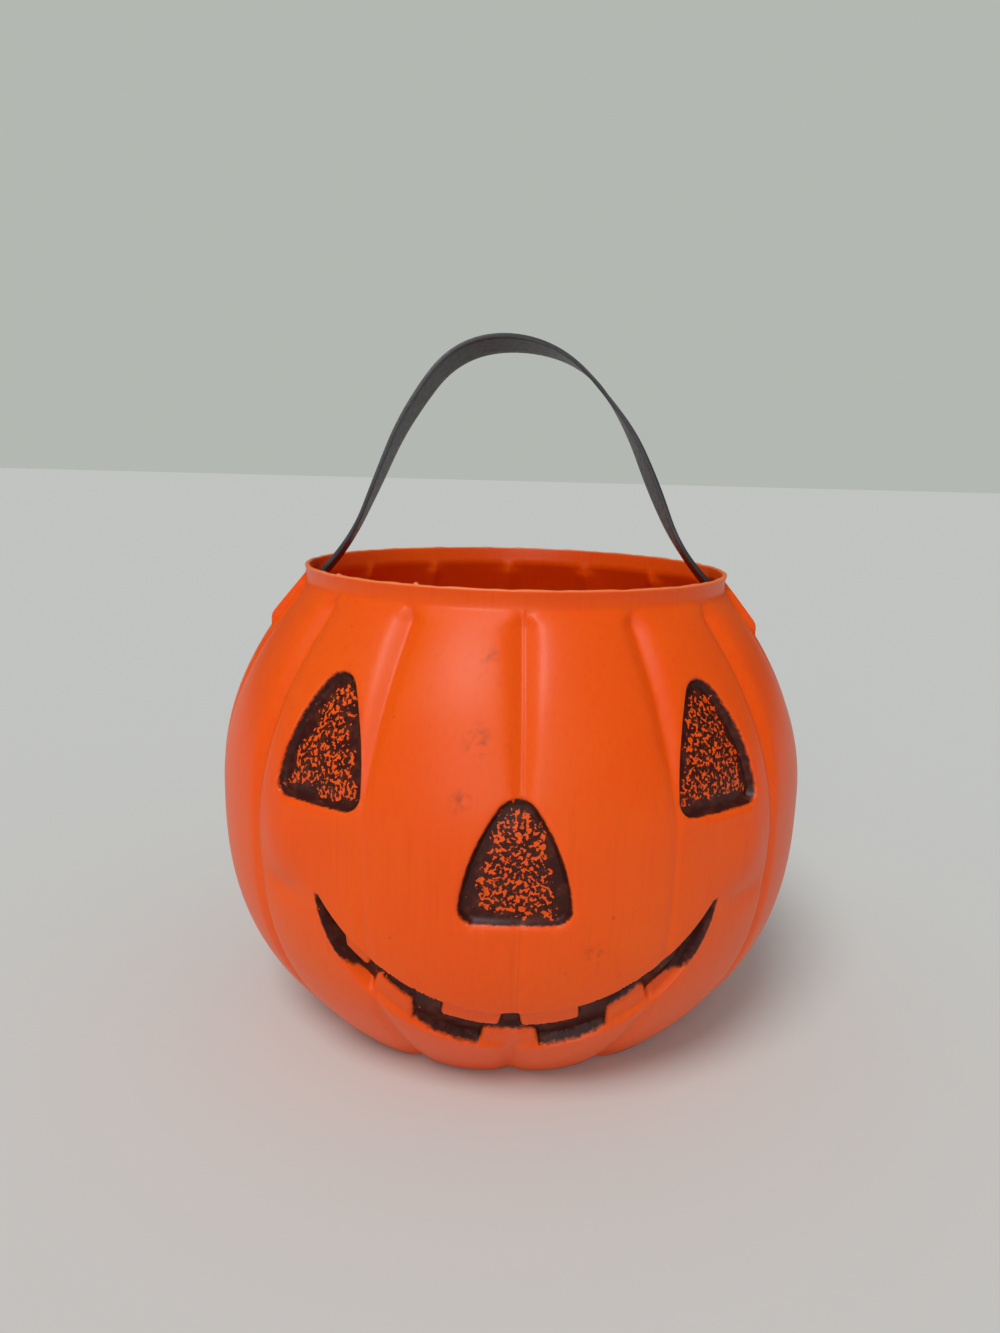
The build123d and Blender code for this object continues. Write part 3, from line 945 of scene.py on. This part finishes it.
def node(tree, kind, inputs=None, output=0, **settings):
    """Adds a shader node with its settings, sets or links its inputs, and gives one of its outputs."""
    item = tree.nodes.new("ShaderNode" + kind)
    for name, value in settings.items():
        setattr(item, name, value)
    for socket, source in (inputs or {}).items():
        target = item.inputs[socket]
        if isinstance(source, bpy.types.NodeSocket):
            tree.links.new(source, target)
        else:
            target.default_value = source
    return item.outputs[output] if item.outputs else None


def new_material(name):
    """An empty material, and the function that adds nodes to it."""
    material = bpy.data.materials.new(name)
    material.use_nodes = True
    material.node_tree.nodes.clear()
    return material, functools.partial(node, material.node_tree)


# Middle of each smudge, in metres, and how far it reaches
SMUDGES = (
    ((-0.013, -0.099, 0.125), 0.006),
    ((-0.018, -0.103, 0.108), 0.0045),
    ((-0.004, -0.101, 0.123), 0.003),
    ((0.023, -0.103, 0.062), 0.0045),
    ((-0.01, -0.086, 0.147), 0.004),
)


# Noises of the shell's finish: size in millimetres, detail and distortion
SHELL_NOISES = {
    "clouds": (75, 3, 0),
    "grain": (2.4, 4, 0),
    "specks": (3, 1, 0),
    "ragged": (1.6, 3, 0),
    "patches": (9, 2, 0),
    "worms": (1.2, 1.5, 0.4),
    "marks": (3.2, 4, 0.8),
    "shades": (3, 3, 0),
}


def shell_material(c, rim_height):
    """Orange polyethylene, satin from the mould, with brown-black paint that wear has rubbed off."""
    material, add = new_material("orange_polyethylene")
    place = add("TexCoord", output="Object")
    height = add("SeparateXYZ", {0: place}, "Z")
    triangle, mouth = [
        add("Attribute", output="Fac", attribute_name=label) for label in PAINT_LAYERS
    ]
    noise = {}
    for name, (size, detail, distortion) in SHELL_NOISES.items():
        inputs = {"Vector": place, "Scale": 1 / (size * MM), "Detail": detail, "Distortion": distortion}
        noise[name] = add("TexNoise", inputs)

    # Cloudy colour, upright flow marks 1.4 mm wide, specks of dirt, and a paler band along the rim's top
    # edge, partly its trimmed cut and partly a painted highlight
    flow = add("Mapping", {"Vector": place, "Scale": (1.0, 1.0, 0.035)})
    streaks = add("TexNoise", {"Vector": flow, "Scale": 1 / (1.4 * MM), "Detail": 3})
    color = c.orange
    for source, start, end, most, tint in (
        (noise["clouds"], 0.35, 0.7, 0.6, c.orange_light),
        (streaks, 0.55, 0.8, 0.35, c.orange_light),
        (streaks, 0.45, 0.25, 0.25, c.orange_deep),
        (noise["specks"], 0.8, 0.82, 0.45, c.grime),
        # Paler band at the rim's top, partly the cut edge and partly a painted highlight
        (height, rim_height - 0.7 * MM, rim_height - 0.2 * MM, 0.6, c.rim_cut_and_highlight),
    ):
        share = add("MapRange", {0: source, 1: start, 2: end, 3: 0, 4: most})
        color = add("Mix", {0: share, 6: color, 7: tint}, 2, data_type="RGBA")

    # Smudges where hands and shelves have rubbed
    dirt = 0.0
    for point, size in SMUDGES:
        apart = add("VectorMath", {0: place, 1: point}, "Value", operation="DISTANCE")
        near = add("MapRange", {0: apart, 1: size, 2: 0.2 * size})
        dirt = add("Math", {0: near, 1: dirt}, operation="MAXIMUM")
    grain = add("MapRange", {0: noise["grain"], 1: 0.42, 2: 0.68, 3: 0, 4: 0.55})
    share = add("Math", {0: dirt, 1: grain}, operation="MULTIPLY")
    color = add("Mix", {0: share, 6: color, 7: c.grime}, 2, data_type="RGBA")

    # Paint in eyes and nose: solid along the edges, rubbed to worm-like specks in the middle
    ragged = add("MapRange", {0: noise["ragged"], 1: 0.2, 2: 0.8, 3: -0.25, 4: 0.25})
    edge = add("Math", {0: triangle, 1: ragged}, operation="ADD")
    inside = add("MapRange", {0: edge, 1: 0.4, 2: -0.05})
    shift = add("MapRange", {0: noise["patches"], 1: 0.25, 2: 0.75, 3: -3.0, 4: 3.0})
    deep = add("Math", {0: triangle, 1: shift}, operation="ADD")
    rubbed = add("MapRange", {0: deep, 1: -1.0, 2: -3.6, 3: 0.22, 4: 0.455})
    left = add("Math", {0: noise["worms"], 1: rubbed}, operation="SUBTRACT")
    left = add("MapRange", {0: left, 1: -0.02, 2: 0.02})
    painted = add("Math", {0: inside, 1: left}, operation="MULTIPLY")

    # Paint in the mouth: nearly whole, with soft sprayed edges and a few scratches
    edge = add("Math", {0: mouth, 1: ragged}, operation="ADD")
    inside = add("MapRange", {0: edge, 1: 0.3, 2: -0.15})
    left = add("MapRange", {0: noise["marks"], 1: 0.3, 2: 0.33})
    share = add("Math", {0: inside, 1: left}, operation="MULTIPLY")
    painted = add("Math", {0: painted, 1: share}, operation="MAXIMUM")
    shades = add("MapRange", {0: noise["shades"], 1: 0.45, 2: 0.75})
    paint = add("Mix", {0: shades, 6: c.paint, 7: c.paint_worn}, 2, data_type="RGBA")
    color = add("Mix", {0: painted, 6: color, 7: paint}, 2, data_type="RGBA")

    # Satin skin, a little duller on the paint, with the flow marks and the paint's film as faint relief
    rough = add("MapRange", {0: noise["clouds"], 1: 0.3, 2: 0.7, 3: 0.35, 4: 0.42})
    film = add("Math", {0: streaks, 1: 0.3}, operation="MULTIPLY")
    film = add("Math", {0: film, 1: painted}, operation="ADD")
    shine = add("MapRange", {0: painted, 1: 0, 2: 1, 3: 0.28, 4: 0.2})
    glow = add("MapRange", {0: painted, 1: 0, 2: 1, 3: 0.6, 4: 0})
    bump = add("Bump", {"Height": film, "Strength": 0.35, "Distance": 0.06 * MM})
    surface = add(
        "BsdfPrincipled",
        {
            "Base Color": color,
            "Roughness": rough,
            "IOR": 1.51,
            "Normal": bump,
            "Specular IOR Level": shine,
            "Subsurface Weight": glow,
            "Subsurface Radius": (1.0, 0.2, 0.03),
            "Subsurface Scale": 3 * MM,
        },
    )
    add("OutputMaterial", {"Surface": surface})
    return material


def strap_material(c):
    """Charcoal-black flexible plastic, satin, with a slightly uneven shine."""
    material, add = new_material("black_plastic")
    place = add("TexCoord", output="Object")
    marks = add("TexNoise", {"Vector": place, "Scale": 1 / (2 * MM), "Detail": 3})
    rough = add("MapRange", {0: marks, 1: 0.3, 2: 0.7, 3: 0.4, 4: 0.52})
    surface = add("BsdfPrincipled", {"Base Color": c.strap, "Roughness": rough, "IOR": 1.5})
    add("OutputMaterial", {"Surface": surface})
    return material


# Operators


class PAIL_OT_shell(bpy.types.Operator):
    """Builds the lobed shell with its face, ears, collar and foot"""

    bl_idname = "pail.shell"
    bl_label = "Build shell"

    def execute(self, context):
        p = in_mm(context.scene.pail_shell)
        item = build_shell(p, in_mm(context.scene.pail_face))
        drill_ears(item, p)
        item.data.materials.clear()
        item.data.materials.append(shell_material(context.scene.pail_finish, p.rim_height * MM))
        activate(item)
        bpy.ops.object.shade_smooth_by_angle(angle=math.radians(50))
        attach(item, "pail")
        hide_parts("pail_shell")
        return {"FINISHED"}


class PAIL_OT_strap(bpy.types.Operator):
    """Builds the strap handle with its tabs and studs"""

    bl_idname = "pail.strap"
    bl_label = "Build strap"

    def execute(self, context):
        s = in_mm(context.scene.pail_strap)
        s.stud_height = in_mm(context.scene.pail_shell).stud_height
        item = build_strap(s)
        studs = [build_stud(s, side) for side in (1, -1)]
        activate(item)
        for stud in studs:
            stud.select_set(True)
        bpy.ops.object.join()
        item.data.materials.append(strap_material(context.scene.pail_finish))
        activate(item)
        bpy.ops.object.shade_smooth_by_angle(angle=math.radians(40))
        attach(item, "handle")
        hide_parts("strap_handle")
        return {"FINISHED"}


class PAIL_OT_stage(bpy.types.Operator):
    """Adds the floor, the lights and the camera"""

    bl_idname = "pail.stage"
    bl_label = "Build stage"

    def execute(self, context):
        scene = context.scene
        settings = scene.pail_stage
        bpy.ops.object.select_all(action="DESELECT")
        bpy.ops.mesh.primitive_plane_add(size=24)
        floor = context.object
        floor.name = "floor"
        material, add = new_material("pale_floor")
        matte = {"Base Color": settings.floor, "Roughness": 0.9, "Specular IOR Level": 0}
        surface = add("BsdfPrincipled", matte)
        add("OutputMaterial", {"Surface": surface})
        floor.data.materials.append(material)

        def lamp(name, place, spread, power):
            light = bpy.data.lights.new(name, "SUN")
            light.angle = math.radians(spread)
            light.energy = power
            item = bpy.data.objects.new(name, light)
            scene.collection.objects.link(item)
            item.location = place
            aim = Vector((0, 0, 0.13)) - item.location
            item.rotation_euler = aim.to_track_quat("-Z", "Y").to_euler()

        lamp("window_light", (-0.3, -0.62, 1.15), 24, 1.55)
        lamp("front_light", (-0.2, -1.0, 0.45), 36, 0.72)
        world = bpy.data.worlds.new("room")
        world.use_nodes = True
        world.node_tree.nodes.clear()
        add = functools.partial(node, world.node_tree)
        white = srgb("F8F8F8")
        light = add("Background", {"Color": white, "Strength": 0.38})
        mirrored = add("Background", {"Color": white, "Strength": 0.08})
        plain = add("Background", {"Color": settings.backdrop, "Strength": 1})
        glossy = add("LightPath", output="Is Glossy Ray")
        seen = add("LightPath", output="Is Camera Ray")
        surface = add("MixShader", {0: glossy, 1: light, 2: mirrored})
        surface = add("MixShader", {0: seen, 1: surface, 2: plain})
        add("OutputWorld", {"Surface": surface})
        scene.world = world

        camera = bpy.data.cameras.new("camera")
        camera.sensor_width = 36
        camera.lens = settings.lens
        camera.clip_start = 0.01
        item = bpy.data.objects.new("camera", camera)
        scene.collection.objects.link(item)
        heading = Matrix.Rotation(-settings.heading, 4, "Z")
        pitch = Matrix.Rotation(math.pi / 2 - settings.pitch, 4, "X")
        frame = heading @ pitch @ Matrix.Rotation(settings.roll, 4, "Z")
        frame.translation = (settings.camera_x, settings.camera_y, settings.camera_z)
        item.matrix_world = frame
        scene.camera = item
        scene.view_settings.view_transform = "Standard"
        return {"FINISHED"}


class PAIL_PT_panel(bpy.types.Panel):
    """Sidebar with the pail's sizes and build steps"""

    bl_label = "Pumpkin pail"
    bl_idname = "PAIL_PT_panel"
    bl_space_type = "VIEW_3D"
    bl_region_type = "UI"
    bl_category = "Pail"

    def draw(self, context):
        layout = self.layout
        for name in SETTINGS:
            group = getattr(context.scene, name)
            box = layout.box()
            box.label(text=name.replace("_", " "))
            for key in group.bl_rna.properties.keys():
                if key not in ("rna_type", "name"):
                    box.prop(group, key, text=key.replace("_", " ").capitalize())
        for operator in OPERATORS:
            layout.operator(operator.bl_idname)


SETTINGS = {
    "pail_shell": PailShellSettings,
    "pail_face": PailFaceSettings,
    "pail_strap": PailStrapSettings,
    "pail_finish": PailFinishSettings,
    "pail_stage": PailStageSettings,
}
OPERATORS = (PAIL_OT_shell, PAIL_OT_strap, PAIL_OT_stage)
CLASSES = (*SETTINGS.values(), *OPERATORS, PAIL_PT_panel)


def register():
    for item in CLASSES:
        bpy.utils.register_class(item)
    for name, group in SETTINGS.items():
        setattr(bpy.types.Scene, name, bpy.props.PointerProperty(type=group))


def unregister():
    for name in SETTINGS:
        delattr(bpy.types.Scene, name)
    for item in reversed(CLASSES):
        bpy.utils.unregister_class(item)


def main():
    register()
    bpy.ops.pail.shell()
    bpy.ops.pail.strap()
    bpy.ops.pail.stage()


if __name__ == "__main__":
    main()
